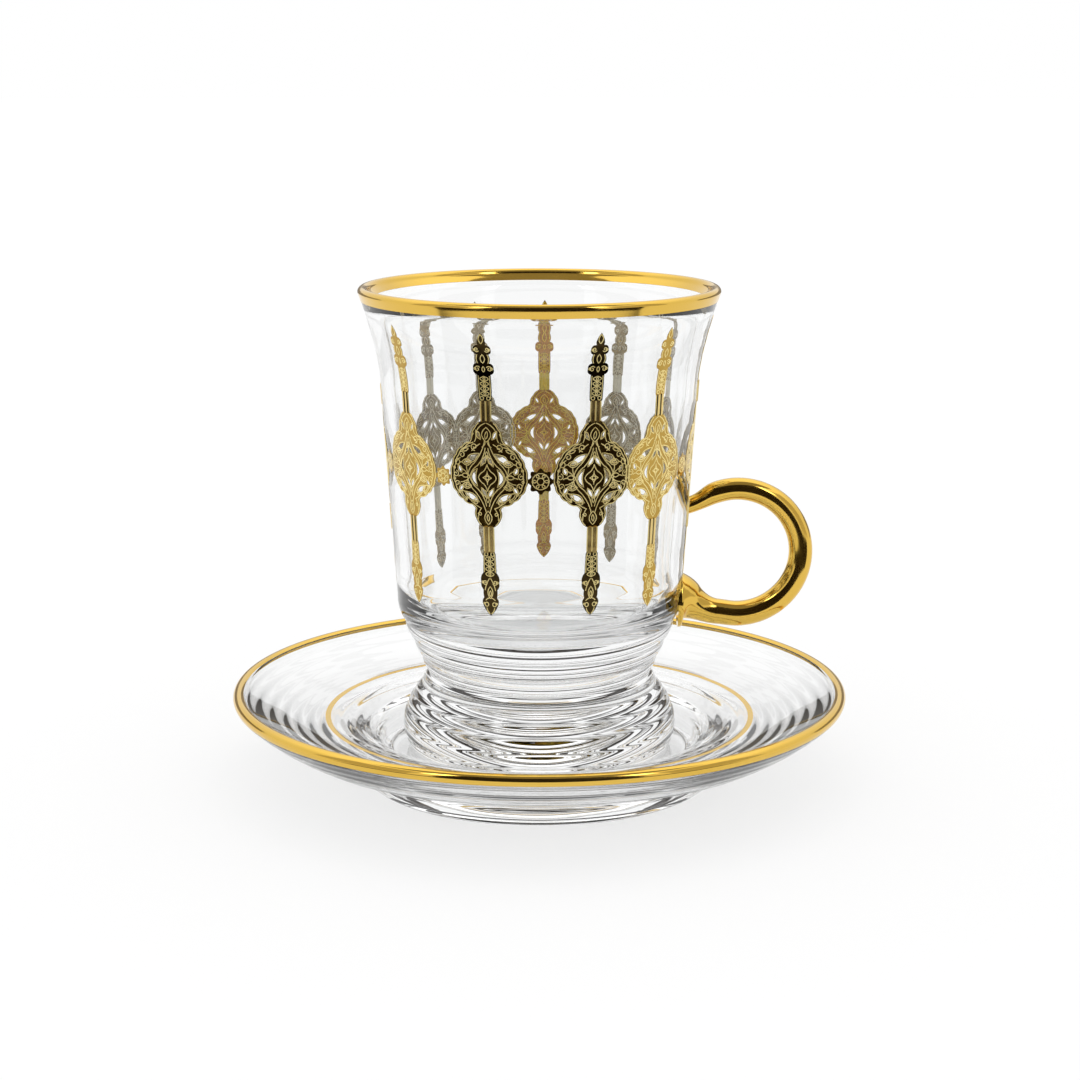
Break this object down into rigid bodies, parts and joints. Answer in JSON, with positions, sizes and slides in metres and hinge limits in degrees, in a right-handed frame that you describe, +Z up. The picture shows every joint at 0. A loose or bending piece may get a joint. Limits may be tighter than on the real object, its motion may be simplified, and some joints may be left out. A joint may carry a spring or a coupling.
{
  "type": "footed tea glass with handle and glass saucer",
  "caption": "Clear tea glass with flared lip, looped handle and heavy ribbed foot, standing in the well of a round clear glass saucer on a low ring.",
  "frame": {"origin": "on the common axis of glass and saucer, at the surface that the saucer's standing ring rests on", "axes": "+Z up along the axis of both pieces, +X from the axis towards the handle"},
  "size_m": [0.1184, 0.1184, 0.095],
  "materials": {
    "clear_glass": "clear polished soda-lime glass, gilt on the lip, the handle and the ornaments",
    "saucer_glass": "clear polished soda-lime glass, gilt on the lip and in one thin ring",
    "gilding": "bright gilt coating on lips, handle, ring and ornaments, which the dressed scene adds"
  },
  "bodies": {
    "root": {"tea_glass": "clear_glass", "saucer": "saucer_glass"}
  },
  "joints": []
}
